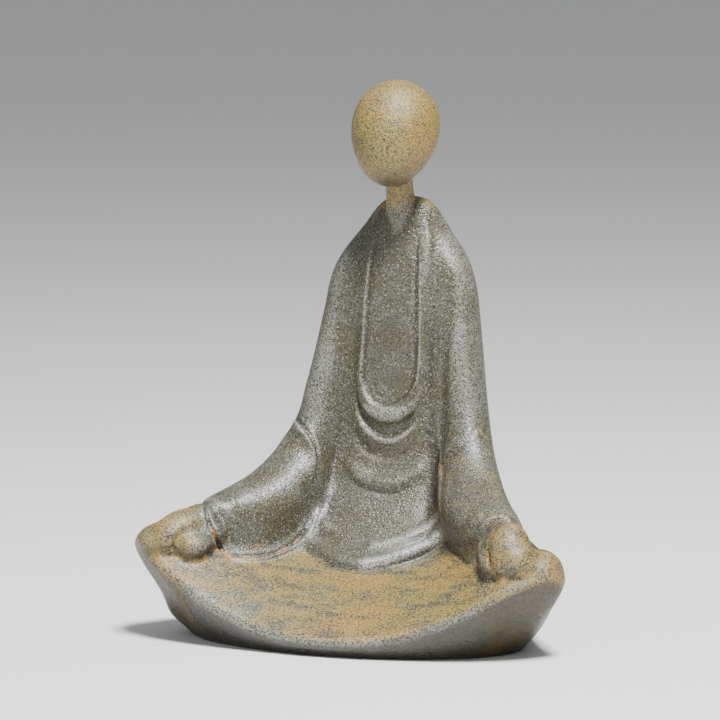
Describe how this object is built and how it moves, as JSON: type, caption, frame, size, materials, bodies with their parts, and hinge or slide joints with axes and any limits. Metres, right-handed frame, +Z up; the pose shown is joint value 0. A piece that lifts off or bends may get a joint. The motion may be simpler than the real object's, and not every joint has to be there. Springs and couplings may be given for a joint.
{
  "type": "seated buddha statue",
  "caption": "Small one-piece ceramic statue of a robed figure sitting cross-legged, with a plain egg-shaped head, wide sleeves and hands resting on the knees; it stands by its own weight.",
  "frame": {"origin": "on the ground under the middle of the figure's plan", "axes": "+Z up; the figure faces -Y; its left hand is on the +X side"},
  "size_m": [0.1206, 0.0836, 0.15],
  "materials": {
    "glazed_stoneware": "satin glaze, coarse and speckled, taupe grey with ochre on the head and lap and rust in the creases"
  },
  "bodies": {
    "root": {"seated_figure": "glazed_stoneware"}
  },
  "joints": []
}
